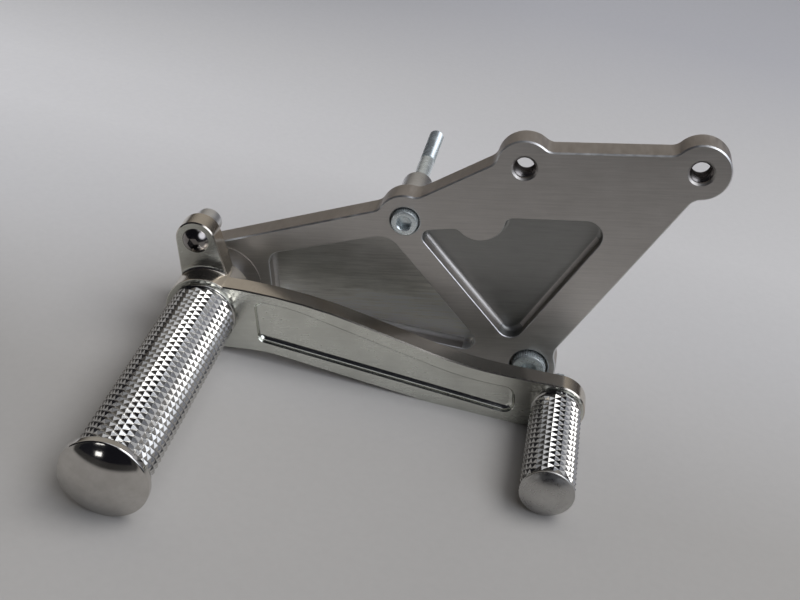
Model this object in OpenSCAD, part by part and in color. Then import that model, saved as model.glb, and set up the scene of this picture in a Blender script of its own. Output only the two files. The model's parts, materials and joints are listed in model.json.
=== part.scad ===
// Rear-set footrest plate with a fixed knurled peg and a pivoting toe pedal.
// Millimetres. The origin is the pedal's pivot axis at the plate's front face.
// X runs forward along the tapped holes, Y back towards the machine, Z up.

/* [Plate] */
// Thickness of the billet plate
plate_t = 10; // [8:0.5:14]
// Round end of the plate about the pivot axis
pivot_end_r = 16.5; // [15:0.5:19]
// Turned seat round the pivot, radius
pivot_seat_r = 15.4; // [14:0.1:15.5]
// Turned seat round the pivot, height above the face
pivot_seat_h = 0.4; // [0.2:0.1:0.8]
// Radius of the bosses round the screws and the tapped holes
boss_r = 10.3; // [9.5:0.1:11.5]
// Small hollow radius where an edge runs into a boss
boss_blend_r = 5; // [3:0.5:7]
// Depth of the two lightening pockets
pocket_depth = 5.5; // [3:0.5:7]
// Fillet between a pocket's wall and its floor
pocket_floor_r = 2.4; // [1:0.2:3]
// Width of the slanting web between the pockets
web_w = 9.3; // [8:0.1:13]

/* [Screw places] */
// Upper frame screw, forward of the pivot
upper_x = 73.1; // [68:0.1:78]
// Upper frame screw, above the pivot
upper_z = 28.9; // [26:0.1:32]
// Lower frame screw, forward of the pivot
lower_x = 118.5; // [114:0.1:124]
// Lower frame screw, below the pivot
lower_z = -31.6; // [-36:0.1:-29]
// First tapped hole, forward of the pivot
tap_x = 116.6; // [112:0.1:121]
// Tapped holes, above the pivot
tap_z = 51.3; // [48:0.1:55]
// Distance between the two tapped holes
tap_pitch = 60; // [52:1:64]
// Wall radius of the tapped holes
tap_r = 3.4; // [3.3:0.05:3.6]

/* [Frame screws] */
// Upper screw, thread radius
upper_screw_r = 3; // [2.5:0.1:3.2]
// Upper screw, length under the head
upper_screw_l = 75; // [60:1:90]
// Upper counterbore depth
upper_sink = 4; // [3:0.5:5]
// Lower screw, thread radius
lower_screw_r = 4; // [3.6:0.1:4.2]
// Lower screw, length under the head
lower_screw_l = 80; // [60:1:95]
// Lower counterbore depth
lower_sink = 5; // [4:0.5:6]
// Length of the upper screw's thread
upper_thread_l = 28; // [22:1:34]
// Length of the lower screw's thread
lower_thread_l = 30; // [24:1:36]
// Length of both spacers behind the plate
spacer_l = 20; // [16:0.5:26]
// Outer radius of the upper spacer
upper_spacer_r = 6; // [5.6:0.1:7]
// Outer radius of the lower spacer
lower_spacer_r = 8; // [7.5:0.1:9]

/* [Pedal] */
// Thickness of the pedal's arm
arm_t = 8; // [7:0.5:10]
// Thickness of the ear behind the arm's level
ear_t = 8; // [7:0.5:10]
// Outer radius of the hub
hub_r = 14.5; // [14:0.1:16]
// Gap between the hub's back and the plate's face
hub_stand_off = 8; // [7:0.5:10]
// Toe peg's axis, forward of the pivot
toe_x = 130.5; // [122:0.5:138]
// Toe peg's axis, below the pivot
toe_z = -34; // [-40:0.5:-30]
// Radius of the arm's round end
toe_end_r = 10.5; // [10:0.1:12]
// Ear hole, behind the pivot
ear_x = -2; // [-4:0.5:0]
// Ear hole, above the pivot
ear_z = 26; // [25:0.5:30]
// Radius of the ear's round end
ear_r = 7.5; // [7:0.1:9]
// Bevel at both ends of the hub
hub_bevel = 0.7; // [0.3:0.1:1]
// Depth of the dished recess in the arm's face
recess_depth = 2.4; // [1.5:0.1:3]

/* [Pegs] */
// Crest radius of the foot peg's knurled grip
peg_r = 12.7; // [11:0.1:13.4]
// Length of the foot peg from its base to the flange's outer side
peg_l = 96.4; // [80:0.5:110]
// Radius of the flange at the peg's outer end
peg_flange_r = 14.7; // [14:0.1:16]
// Thickness of that flange
peg_flange_t = 3; // [2:0.1:4]
// Height of the domed end beyond the flange
peg_dome_h = 4; // [2.5:0.1:5]
// Crest radius of the toe peg
toe_peg_r = 9.4; // [8.5:0.1:10]
// Length of the toe peg's knurled grip
toe_peg_l = 46; // [38:0.5:55]
// Height of the toe peg's domed end
toe_dome_h = 3.7; // [2:0.1:5]

/* [Pivot] */
// Radius of the sleeve on which the bushes turn
journal_r = 7.5; // [7:0.1:7.8]
// Radius of the sleeve's shoulder behind the hub
shoulder_r = 8.6; // [8.4:0.1:8.8]
// Wall of the bushes
bush_wall = 1.5; // [1.2:0.1:1.6]
// Flange radius of the bushes
bush_flange_r = 10.4; // [10.1:0.1:10.8]
// Radius of the long bolt that holds the foot peg
peg_bolt_r = 4; // [3.6:0.1:4.2]
// Length of that bolt under its head
peg_bolt_l = 60; // [56:1:66]

/* [Hidden] */

// Clearances: running fit, tapped thread, free hole, shank in thread, counterbore wall,
// end play.
run_gap = 0.03;
thread_gap = 0.04;
free_gap = 0.3;
shank_relief = 0.3;
upper_sink_gap = 0.5;
lower_sink_gap = 0.9;
end_play = 0.1;
cut = 1;

// Head sizes follow from the shank radius as on metric cap screws.
upper_head_r = upper_screw_r * 5 / 3;
lower_head_r = lower_screw_r * 1.625;
small_screw_r = 3;
small_head_r = 5;
button_head_r = 5.25;
button_head_h = 3.3;
peg_head_r = peg_bolt_r * 1.625;
washer_t = 1.6;
peg_lock_t = 2;
toe_screw_l = 25;
ear_screw_l = 14;
collar_r = 4.9;
collar_l = 9;
collar_neck = 0.7;

// Levels along Y.
ear_back = -hub_stand_off;
ear_front = ear_back - ear_t;
arm_front = ear_front - arm_t;
peg_base = arm_front - end_play;
washer_front = ear_back + end_play;
thrust_t = 1;
shoulder_front = washer_front + thrust_t;
spigot_r = 6;
flange_t = 1.1;
flange_room = 0.15;
bush_l = 7;
bush_out_r = journal_r + run_gap + bush_wall;

arc_step = 8;
ring_n = 96;
bore_n = 64;

function unit(a) = [cos(a), sin(a)];
function turned(a) = a - 360 * floor(a / 360);
function swing(a, b, s) = a + s * turned(s * (b - a));
function heading(p, q) = atan2(q[1] - p[1], q[0] - p[0]);
function signed_turn(a, b) = turned(b - a + 180) - 180;

// A line is a point and an angle; two of them meet in a point.
function meet(p, a, q, b) =
    p + unit(a) * (((q - p) * unit(b - 90)) / (unit(a) * unit(b - 90)));

// An arc is [x, z, radius, start, end]; the radius is negative in a hollow corner.
function corner_arc(p, q, r, radius) =
    let (
        a = heading(p, q),
        t = signed_turn(a, heading(q, r)),
        s = sign(t),
        c = q - unit(a) * radius * tan(abs(t) / 2) + s * radius * unit(a + 90)
    )
    [c[0], c[1], s * radius, a - 90 * s, a - 90 * s + t];

function rounded(v) =
    let (n = len(v))
    [for (i = [0 : n - 1])
        corner_arc(
            [v[(i + n - 1) % n][0], v[(i + n - 1) % n][1]],
            [v[i][0], v[i][1]],
            [v[(i + 1) % n][0], v[(i + 1) % n][1]],
            v[i][2]
        )
    ];

// Centre of the hollow blend between a boss and an edge that runs along angle a
// and passes the boss's centre at distance h; s tells before (-1) or past (1) it.
function blend_at(c, radius, f, a, h, s) =
    c + s * sqrt(pow(radius + f, 2) - pow(h + f, 2)) * unit(a) + (h + f) * unit(a - 90);

// Centre of the rounding where an edge meets a hollow whose centre lies drop outside it.
function ease_at(c, radius, f, a, drop, s) =
    c + s * sqrt(pow(radius + f, 2) - pow(drop + f, 2)) * unit(a) - (drop + f) * unit(a - 90);

// Hollow, boss, hollow: the edge comes in along a with distance ha, leaves along b with hb.
function boss_arcs(c, radius, fa, a, ha, fb, b, hb) =
    let (
        p = blend_at(c, radius, fa, a, ha, -1),
        q = blend_at(c, radius, fb, b, hb, 1),
        a0 = heading(c, p),
        b0 = heading(c, q)
    )
    [
        [p[0], p[1], -fa, a + 90, swing(a + 90, a0 + 180, -1)],
        [c[0], c[1], radius, a0, swing(a0, b0, 1)],
        [q[0], q[1], -fb, b0 + 180, swing(b0 + 180, b + 90, -1)]
    ];

function arc_points(v, d) =
    let (
        s = sign(v[2]),
        radius = abs(v[2]) - s * d,
        n = max(2, ceil(abs(v[4] - v[3]) / arc_step))
    )
    [for (i = [0 : n]) [v[0], v[1]] + radius * unit(v[3] + (v[4] - v[3]) * i / n)];

function outline(arcs, d) = [for (v = arcs) each arc_points(v, d)];

// Indices of the outline's points, less those that fall on their neighbour.
function kept(arcs) =
    let (raw = outline(arcs, 0), count = len(raw))
    [for (i = [0 : count - 1]) if (norm(raw[i] - raw[(i + 1) % count]) > 0.001) i];

// Rings hold [distance drawn in, place along Y], from the front to the back.
module loft(arcs, rings) {
    keep = kept(arcs);
    n = len(keep);
    m = len(rings);
    points = [for (r = rings) let (p = outline(arcs, r[0])) for (i = keep) [p[i][0], r[1], p[i][1]]];
    faces = [
        [for (i = [n - 1 : -1 : 0]) i],
        for (k = [0 : m - 2])
            for (i = [0 : n - 1])
                [k * n + i, k * n + (i + 1) % n, (k + 1) * n + (i + 1) % n, (k + 1) * n + i],
        [for (i = [0 : n - 1]) (m - 1) * n + i]
    ];
    polyhedron(points, faces, convexity = 8);
}

module slab(arcs, y0, y1) {
    translate([0, y1, 0])
        rotate([90, 0, 0])
            linear_extrude(y1 - y0)
                polygon([let (p = outline(arcs, 0)) for (i = kept(arcs)) p[i]]);
}

// A pocket sunk from the face y0, with a filleted floor.
module pocket(arcs, y0, depth, floor_r) {
    steps = 4;
    loft(arcs, [
        [0, y0 - cut],
        [0, y0 + depth - floor_r],
        for (i = [1 : steps])
            let (a = 90 * i / steps)
            [floor_r * (1 - cos(a)), y0 + depth - floor_r + floor_r * sin(a)]
    ]);
}

module rod(x, z, r, y0, y1, n = bore_n) {
    translate([x, y1, z])
        rotate([90, 0, 0])
            cylinder(h = y1 - y0, r = r, $fn = n);
}

// A profile of [radius, place along Y] turned about a line along Y.
module lathe(x, z, profile, n = ring_n) {
    translate([x, 0, z])
        rotate([90, 0, 0])
            rotate_extrude($fn = n)
                polygon([for (p = profile) [p[0], -p[1]]]);
}

module hex_socket(x, z, across, y0, depth) {
    translate([x, y0 + depth, z])
        rotate([90, 0, 0])
            cylinder(h = depth + cut, r = across / sqrt(3), $fn = 6);
}

// Cap screw whose head looks to the front; seat is the head's underside.
// Its shank is a little slimmer than its thread.
module cap_screw(x, z, r, head_r, seat, tip, socket, thread_l) {
    head_h = 2 * r;
    ease = 0.5;
    end_ease = r / 4;
    shank_r = r - shank_relief;
    difference() {
        lathe(x, z, [
            [0, seat - head_h], [head_r - ease, seat - head_h],
            [head_r, seat - head_h + ease], [head_r, seat],
            [shank_r, seat], [shank_r, tip - thread_l], [r, tip - thread_l],
            [r, tip - end_ease], [r - end_ease, tip], [0, tip]
        ]);
        hex_socket(x, z, socket, seat - head_h, r);
    }
}

// The same screw looking to the back.
module back_screw(x, z, r, head_r, seat, tip, socket, thread_l) {
    translate([0, seat, 0])
        mirror([0, 1, 0])
            cap_screw(x, z, r, head_r, 0, seat - tip, socket, thread_l);
}

module flat_washer(x, z, r, outer, y0, t) {
    ease = 0.2;
    lathe(x, z, [
        [r, y0], [outer - ease, y0], [outer, y0 + ease],
        [outer, y0 + t - ease], [outer - ease, y0 + t], [r, y0 + t]
    ]);
}

module lock_washer(x, z, r, outer, y0, t) {
    slit = 1;
    difference() {
        lathe(x, z, [[r, y0], [outer, y0], [outer, y0 + t], [r, y0 + t]]);
        translate([x, y0 - cut, z - slit / 2])
            cube([outer + cut, t + 2 * cut, slit]);
    }
}

module spacer_tube(x, z, bore, outer, y0, y1) {
    ease = 0.4;
    lathe(x, z, [
        [bore, y0], [outer - ease, y0], [outer, y0 + ease],
        [outer, y1 - ease], [outer - ease, y1], [bore, y1]
    ]);
}

// Plate outline: straight edges between the pivot end and four bosses.
pivot = [0, 0];
upper = [upper_x, upper_z];
lower = [lower_x, lower_z];
tap_a = [tap_x, tap_z];
tap_b = [tap_x + tap_pitch, tap_z];
edge_upper = 6.3;
edge_link = 6;
edge_top = 6.2;
edge_bottom = 6;
edge_front_low = 3.6;
edge_front_high = 4.5;
heel_blend_r = 8;

function edge_angle(p, q, hp, hq) = heading(p, q) + asin((hp - hq) / norm(q - p));

run_bottom = edge_angle(pivot, lower, pivot_end_r, edge_bottom);
run_front = edge_angle(lower, tap_b, edge_front_low, edge_front_high);
run_top = 180;
run_link = heading(tap_a, upper);
run_upper = heading(upper, pivot) + asin((edge_upper - pivot_end_r) / norm(upper));

plate_arcs = [
    [0, 0, pivot_end_r, run_upper - 90, swing(run_upper - 90, run_bottom - 90, 1)],
    each boss_arcs(lower, boss_r, boss_blend_r, run_bottom, edge_bottom,
        heel_blend_r, run_front, edge_front_low),
    each boss_arcs(tap_b, boss_r, boss_blend_r, run_front, edge_front_high,
        boss_blend_r, run_top, edge_top),
    each boss_arcs(tap_a, boss_r, boss_blend_r, run_top, edge_top,
        boss_blend_r, run_link, edge_link),
    each boss_arcs(upper, boss_r, boss_blend_r, run_link, edge_link,
        boss_blend_r, run_upper, edge_upper)
];

// The web between the pockets runs from under the upper screw to the lower one.
web_top = upper + [2.4, -10.2];
web_foot = lower + [-16.8, 14.6];
web_run = heading(web_top, web_foot);
web_left = web_top + unit(web_run - 90) * web_w / 2;
web_right = web_top - unit(web_run - 90) * web_w / 2;

// Rear pocket: four edges kept a rim's width inside the plate's own edges.
rear_gap = 4.3;
rear_rim_top = 8;
rear_rim_bottom = 10.1;
rear_slope_top = 2;
rear_slope_bottom = 1.3;
rear_start = [pivot_seat_r + rear_gap, 0];
rear_top = unit(run_upper - 90) * (pivot_end_r - rear_rim_top);
rear_bottom = unit(run_bottom - 90) * (pivot_end_r - rear_rim_bottom);
rear_pocket = rounded([
    [each meet(rear_start, 90, rear_bottom, run_bottom - rear_slope_bottom), 5],
    [each meet(web_left, web_run, rear_bottom, run_bottom - rear_slope_bottom), 4.2],
    [each meet(web_left, web_run, rear_top, run_upper - rear_slope_top), 8],
    [each meet(rear_start, 90, rear_top, run_upper - rear_slope_top), 5]
]);

// Front pocket: triangular, with a round of metal left standing in its top edge.
front_rim = 14.5;
front_top = tap_a + [0, -19.8];
front_step = upper + [10.9, -3.1];
front_step_run = 184.8;
scallop = tap_a + [-16.1, -19.8];
scallop_r = 9.5;
scallop_ease = 2.9;
front_edge = tap_b + unit(run_front - 90) * (edge_front_high - front_rim);
front_tip = meet(web_right, web_run, front_edge, run_front);
front_corner = meet(front_edge, run_front, front_top, 180);
front_left = meet(web_right, web_run, front_step, front_step_run);
step_drop = (scallop - front_step) * unit(front_step_run - 90);
ease_right = ease_at(scallop, scallop_r, scallop_ease, 180, 0, -1);
ease_left = ease_at(scallop, scallop_r, scallop_ease, front_step_run, step_drop, 1);
front_pocket = [
    corner_arc(front_left, front_tip, front_corner, 5.3),
    corner_arc(front_tip, front_corner, front_top, 6.1),
    [ease_right[0], ease_right[1], scallop_ease, 90, swing(90, heading(ease_right, scallop), 1)],
    [scallop[0], scallop[1], -scallop_r, heading(scallop, ease_right),
        swing(heading(scallop, ease_right), heading(scallop, ease_left), -1)],
    [ease_left[0], ease_left[1], scallop_ease, heading(ease_left, scallop),
        swing(heading(ease_left, scallop), front_step_run - 90, 1)],
    corner_arc(front_step, front_left, front_tip, 3.2)
];

// Pedal outline, set out along the line from the pivot to the toe peg.
toe = [toe_x, toe_z];
toe_run = heading(pivot, toe);
function along(f, off) = toe * f + unit(toe_run + 90) * off;

top_root = along(-0.024, 12.2);
top_crown = along(0.228, 17.36);
top_hollow = along(0.736, 7.8);
under_root = along(0.016, -11.4);
under_step = along(0.074, -12.55);
under_hollow = along(0.19, -9.64);
under_crown = along(0.832, -13.3);
toe_gap = norm(toe - top_hollow);
run_over = heading(top_hollow, toe) + asin(toe_end_r / toe_gap);
over_mark = toe + unit(run_over + 90) * toe_end_r;
under_drop = 8.8;
run_under = heading(under_crown, toe) - asin(under_drop / norm(toe - under_crown));
toe_blend_r = 4;
toe_blend = blend_at(toe, toe_end_r, toe_blend_r, run_under, under_drop, -1);
toe_blend_end = heading(toe_blend, toe);
root_r = 3;

arm_arcs = [
    corner_arc(top_root, under_root, under_step, root_r),
    corner_arc(under_root, under_step, under_hollow, root_r),
    corner_arc(under_step, under_hollow, under_crown, 60),
    corner_arc(under_hollow, under_crown, under_crown + unit(run_under), 40),
    [toe_blend[0], toe_blend[1], -toe_blend_r, run_under + 90,
        swing(run_under + 90, toe_blend_end, -1)],
    [toe_x, toe_z, toe_end_r, toe_blend_end - 180, swing(toe_blend_end - 180, run_over + 90, 1)],
    corner_arc(over_mark, top_hollow, top_crown, 130),
    corner_arc(top_hollow, top_crown, top_root, 190),
    corner_arc(top_crown, top_root, under_root, root_r)
];

recess = rounded([
    [each along(0.164, -5.41), 3],
    [each along(0.897, -7.12), 4],
    [each along(0.875, 4.3), 4],
    [each along(0.735, 2.8), 100],
    [each along(0.229, 12.29), 70],
    [each along(0.132, 11.04), 3.2]
]);

// Ear: a tab that rises from the hub and widens forward into it.
ear = [ear_x, ear_z];
ear_run = 100.8;
ear_blend_r = 4;
ear_inside = hub_r - 1.3;
ear_side = (ear + unit(ear_run - 90) * ear_r) * unit(ear_run - 90);
ear_blend = blend_at(pivot, ear_inside, ear_blend_r, ear_run, ear_side, 1);
ear_foot = 6;
ear_arcs = [
    [ear_blend[0], ear_blend[1], -ear_blend_r, heading(ear_blend, pivot) + 360,
        swing(heading(ear_blend, pivot) + 360, ear_run + 90, -1)],
    [ear_x, ear_z, ear_r, ear_run - 90, 180],
    corner_arc(ear + [-ear_r, 0], [ear_x - ear_r, ear_foot], [0, ear_foot - 1], 2),
    corner_arc([0, ear_foot - 1], [ear_foot + 1, 3], ear_blend, 2)
];

module mount_plate() {
    color([0.66, 0.66, 0.66])
        difference() {
            union() {
                slab(plate_arcs, 0, plate_t);
                rod(0, 0, pivot_seat_r, -pivot_seat_h, plate_t / 2, ring_n);
            }
            pocket(rear_pocket, 0, pocket_depth, pocket_floor_r);
            pocket(front_pocket, 0, pocket_depth, pocket_floor_r);
            rod(0, 0, spigot_r + run_gap, -cut, plate_t + cut);
            rod(upper_x, upper_z, upper_head_r + upper_sink_gap, -cut, upper_sink);
            rod(upper_x, upper_z, upper_screw_r + free_gap, 0, plate_t + cut);
            rod(lower_x, lower_z, lower_head_r + lower_sink_gap, -cut, lower_sink);
            rod(lower_x, lower_z, lower_screw_r + free_gap, 0, plate_t + cut);
            for (p = [tap_a, tap_b]) {
                rod(p[0], p[1], tap_r, -cut, plate_t + cut);
                tap_mouth(p, 0, 1);
                tap_mouth(p, plate_t, -1);
            }
        }
}

// Countersink at one end of a tapped hole; s points into the plate.
module tap_mouth(p, y, s) {
    flare = 1.1;
    mouth = [
        [0, y - s * cut], [tap_r + flare + cut, y - s * cut],
        [tap_r, y + s * flare], [0, y + s * flare]
    ];
    lathe(p[0], p[1], mouth, bore_n);
}

module pivot_post() {
    ease = 0.4;
    spigot_end = plate_t - 0.5;
    color([0.55, 0.56, 0.58])
        lathe(0, 0, [
            [peg_bolt_r + free_gap, peg_base],
            [journal_r - ease, peg_base],
            [journal_r, peg_base + ease],
            [journal_r, shoulder_front],
            [shoulder_r, shoulder_front],
            [shoulder_r, -pivot_seat_h],
            [spigot_r, -pivot_seat_h],
            [spigot_r, spigot_end],
            [peg_bolt_r + free_gap, spigot_end]
        ]);
}

module thrust_washer() {
    color([0.5, 0.51, 0.53])
        lathe(0, 0, [
            [journal_r + run_gap, washer_front], [shoulder_r, washer_front],
            [shoulder_r, shoulder_front], [journal_r + run_gap, shoulder_front]
        ]);
}

// Flanged bush: the flange lies at y, and the sleeve runs from it in direction s.
module flanged_bush(y, s) {
    color([0.70, 0.52, 0.28])
        lathe(0, 0, [
            [journal_r + run_gap, y], [bush_flange_r, y],
            [bush_flange_r, y + s * flange_t], [bush_out_r, y + s * flange_t],
            [bush_out_r, y + s * bush_l], [journal_r + run_gap, y + s * bush_l]
        ]);
}

module bush_front() {
    flanged_bush(arm_front, 1);
}

module bush_rear() {
    flanged_bush(ear_back, -1);
}

module pedal_lever() {
    color([0.78, 0.78, 0.77])
        difference() {
            union() {
                slab(arm_arcs, arm_front, ear_front);
                slab(ear_arcs, ear_front, ear_back);
                hub();
            }
            pocket(recess, arm_front, recess_depth, recess_depth - 0.2);
            rod(0, 0, bush_out_r + run_gap, arm_front - cut, ear_back + cut);
            rod(0, 0, bush_flange_r + flange_room, arm_front - cut, arm_front + flange_t);
            rod(0, 0, bush_flange_r + flange_room, ear_back - flange_t, ear_back + cut);
            rod(toe_x, toe_z, small_screw_r + free_gap, arm_front - cut, ear_front + cut);
            rod(ear_x, ear_z, small_screw_r + free_gap, ear_front - cut, ear_back + cut);
        }
}

module hub() {
    lathe(0, 0, [
        [0, arm_front], [hub_r - hub_bevel, arm_front],
        [hub_r, arm_front + hub_bevel], [hub_r, ear_back - hub_bevel],
        [hub_r - hub_bevel, ear_back], [0, ear_back]
    ]);
}

// Points of a shallow dome of the given base radius, from its rim to its crown.
function dome(r, h, y) =
    let (
        big = (r * r + h * h) / (2 * h),
        span = asin(r / big),
        steps = 10
    )
    [for (i = [steps : -1 : 0]) [big * sin(span * i / steps), y - h + big - big * cos(span * i / steps)]];

module foot_peg() {
    tip = peg_base - peg_l;
    ease = 0.7;
    bore_end = peg_base - (peg_bolt_l - (plate_t + washer_t + peg_lock_t - peg_base)) - 2;
    base_ease = 0.4;
    color([0.80, 0.80, 0.80])
        difference() {
            lathe(0, 0, [
                [0, peg_base], [peg_r - base_ease, peg_base], [peg_r, peg_base - base_ease],
                [peg_r, tip + peg_flange_t + ease], [peg_r + ease, tip + peg_flange_t],
                [peg_flange_r - ease, tip + peg_flange_t],
                [peg_flange_r, tip + peg_flange_t - ease],
                [peg_flange_r, tip + ease],
                each dome(peg_flange_r - ease, peg_dome_h, tip)
            ]);
            rod(0, 0, peg_bolt_r + thread_gap, bore_end, peg_base + cut);
        }
}

module peg_bolt() {
    seat = plate_t + washer_t + peg_lock_t;
    color([0.62, 0.63, 0.65])
        back_screw(0, 0, peg_bolt_r, peg_head_r, seat, seat - peg_bolt_l, 6, 22);
}

module peg_washer() {
    color([0.70, 0.71, 0.72])
        flat_washer(0, 0, peg_bolt_r + free_gap, 2 * peg_bolt_r, plate_t, washer_t);
}

module peg_lock_washer() {
    color([0.45, 0.46, 0.48])
        lock_washer(0, 0, peg_bolt_r + free_gap, peg_head_r, plate_t + washer_t, peg_lock_t);
}

module toe_peg() {
    tip = arm_front - toe_peg_l;
    ease = 0.5;
    bore_l = 15.5;
    color([0.80, 0.80, 0.80])
        difference() {
            lathe(toe_x, toe_z, [
                [0, arm_front], [toe_peg_r - ease, arm_front], [toe_peg_r, arm_front - ease],
                [toe_peg_r, tip + ease],
                each dome(toe_peg_r - ease, toe_dome_h, tip)
            ]);
            rod(toe_x, toe_z, small_screw_r + thread_gap, arm_front - bore_l, arm_front + cut);
        }
}

toe_lock_t = 1.6;
toe_seat = ear_front + washer_t + toe_lock_t;

module toe_screw() {
    color([0.62, 0.63, 0.65])
        back_screw(toe_x, toe_z, small_screw_r, small_head_r,
            toe_seat, toe_seat - toe_screw_l, 5, 14);
}

module toe_washer() {
    color([0.70, 0.71, 0.72])
        flat_washer(toe_x, toe_z, small_screw_r + free_gap, 2 * small_screw_r, ear_front, washer_t);
}

module toe_lock_washer() {
    color([0.45, 0.46, 0.48])
        lock_washer(toe_x, toe_z, small_screw_r + free_gap, small_head_r,
            ear_front + washer_t, toe_lock_t);
}

module ear_screw() {
    big = (pow(button_head_r, 2) + pow(button_head_h, 2)) / (2 * button_head_h);
    ease = 0.7;
    flat = 2.4;
    steps = 8;
    a0 = asin(flat / big);
    a1 = asin(button_head_r / big);
    color([0.20, 0.20, 0.21])
        difference() {
            lathe(ear_x, ear_z, [
                [0, ear_front - button_head_h + big * (1 - cos(a0))],
                for (i = [0 : steps])
                    let (a = a0 + (a1 - a0) * i / steps)
                    [big * sin(a), ear_front - button_head_h + big * (1 - cos(a))],
                [small_screw_r, ear_front],
                [small_screw_r, ear_front + ear_screw_l - ease],
                [small_screw_r - ease, ear_front + ear_screw_l],
                [0, ear_front + ear_screw_l]
            ]);
            hex_socket(ear_x, ear_z, 4, ear_front - button_head_h, 2);
        }
}

module ear_collar() {
    ease = 0.4;
    inner = small_screw_r + thread_gap;
    back = ear_back + collar_l;
    color([0.72, 0.72, 0.71])
        lathe(ear_x, ear_z, [
            [inner, ear_back], [collar_r - collar_neck, ear_back],
            [collar_r - collar_neck, ear_back + collar_neck],
            [collar_r, ear_back + collar_neck],
            [collar_r, back - ease], [collar_r - ease, back],
            [0, back], [0, back - 2], [inner, back - 2]
        ]);
}

module upper_screw() {
    color([0.74, 0.77, 0.78])
        cap_screw(upper_x, upper_z, upper_screw_r, upper_head_r,
            upper_sink, upper_sink + upper_screw_l, 5, upper_thread_l);
}

module upper_spacer() {
    color([0.80, 0.80, 0.81])
        spacer_tube(upper_x, upper_z, upper_screw_r + free_gap, upper_spacer_r,
            plate_t, plate_t + spacer_l);
}

module lower_screw() {
    color([0.74, 0.77, 0.78])
        cap_screw(lower_x, lower_z, lower_screw_r, lower_head_r,
            lower_sink, lower_sink + lower_screw_l, 6, lower_thread_l);
}

module lower_spacer() {
    color([0.80, 0.80, 0.81])
        spacer_tube(lower_x, lower_z, lower_screw_r + free_gap, lower_spacer_r,
            plate_t, plate_t + spacer_l);
}

mount_plate();
pivot_post();
thrust_washer();
bush_front();
bush_rear();
pedal_lever();
foot_peg();
peg_bolt();
peg_washer();
peg_lock_washer();
toe_peg();
toe_screw();
toe_washer();
toe_lock_washer();
ear_screw();
ear_collar();
upper_screw();
upper_spacer();
lower_screw();
lower_spacer();
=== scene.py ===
"""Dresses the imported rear-set footrest: billet plate, pedal, knurled pegs and screws."""

import json
from math import asin, atan2, ceil, copysign, cos, degrees, hypot, pi, radians, sin, sqrt, tan, tau

import bmesh
import bpy
from mathutils import Matrix, Vector


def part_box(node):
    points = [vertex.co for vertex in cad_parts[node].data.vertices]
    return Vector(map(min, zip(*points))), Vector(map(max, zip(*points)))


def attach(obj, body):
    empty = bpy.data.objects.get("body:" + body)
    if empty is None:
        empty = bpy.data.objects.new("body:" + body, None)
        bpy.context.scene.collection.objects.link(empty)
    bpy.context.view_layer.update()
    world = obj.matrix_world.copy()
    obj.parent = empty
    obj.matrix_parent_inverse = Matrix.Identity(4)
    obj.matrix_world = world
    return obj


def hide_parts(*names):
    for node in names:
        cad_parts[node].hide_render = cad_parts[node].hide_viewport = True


bl_info = {
    "name": "Rear-set Footrest",
    "version": (1, 0, 0),
    "blender": (4, 5, 0),
    "location": "View3D > Sidebar > Rear-set",
    "description": "Builds the finished plate, pedal, pegs and screws round the packed solids",
    "category": "Object",
}

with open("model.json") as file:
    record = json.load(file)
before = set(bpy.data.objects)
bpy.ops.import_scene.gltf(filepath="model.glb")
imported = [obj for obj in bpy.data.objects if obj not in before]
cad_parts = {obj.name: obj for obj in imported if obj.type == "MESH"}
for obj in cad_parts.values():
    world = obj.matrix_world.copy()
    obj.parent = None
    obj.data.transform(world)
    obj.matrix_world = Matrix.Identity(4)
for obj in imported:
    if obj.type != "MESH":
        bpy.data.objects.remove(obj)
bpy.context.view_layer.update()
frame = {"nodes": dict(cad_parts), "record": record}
MM = 0.001


# ---- places taken from the frame, in millimetres


def box_mm(node):
    """Lowest and highest corner of a solid, in millimetres."""
    low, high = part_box(node)
    return Vector(low) / MM, Vector(high) / MM


def axis_of(node):
    """The (x, z) of a turned solid's own axis."""
    low, high = box_mm(node)
    return ((low.x + high.x) / 2, (low.z + high.z) / 2)


def span_of(node):
    """Front and back of a solid along Y."""
    low, high = box_mm(node)
    return low.y, high.y


def radius_of(node):
    """Outer radius of a turned solid."""
    low, high = box_mm(node)
    return (high.x - low.x) / 2


def mount_of(name):
    """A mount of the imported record."""
    return next(m for m in frame["record"]["mounts"] if m["name"] == name)


PIVOT = (0.0, 0.0)
UPPER = axis_of("upper_screw")
LOWER = axis_of("lower_screw")
TOE = axis_of("toe_peg")
EAR = axis_of("ear_screw")
TAPPED = mount_of("tapped_pair")
TAP_MIDDLE = Vector(TAPPED["pos_m"]) / MM
TAP_REACH = TAPPED["dims"]["spacing_x_mm"] / 2
TAP_A = (TAP_MIDDLE.x - TAP_REACH, TAP_MIDDLE.z)
TAP_B = (TAP_MIDDLE.x + TAP_REACH, TAP_MIDDLE.z)
TAP_R = TAPPED["dims"]["hole_r_mm"]
PLATE_T = span_of("mount_plate")[1]
ARM_FRONT, EAR_BACK = span_of("pedal_lever")
EAR_FRONT = (ARM_FRONT + EAR_BACK) / 2
HUB_R = 14.5


# ---- sizes and colours a user would change


def length(name, default, text):
    return bpy.props.FloatProperty(
        name=name, default=default * MM, min=0.0, unit="LENGTH", precision=5, description=text
    )


def colour(name, default, text):
    return bpy.props.FloatVectorProperty(
        name=name, subtype="COLOR", size=3, min=0.0, max=1.0, default=default, description=text
    )


def columns(name, default, text):
    return bpy.props.IntProperty(name=name, default=default, min=6, max=60, description=text)


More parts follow.
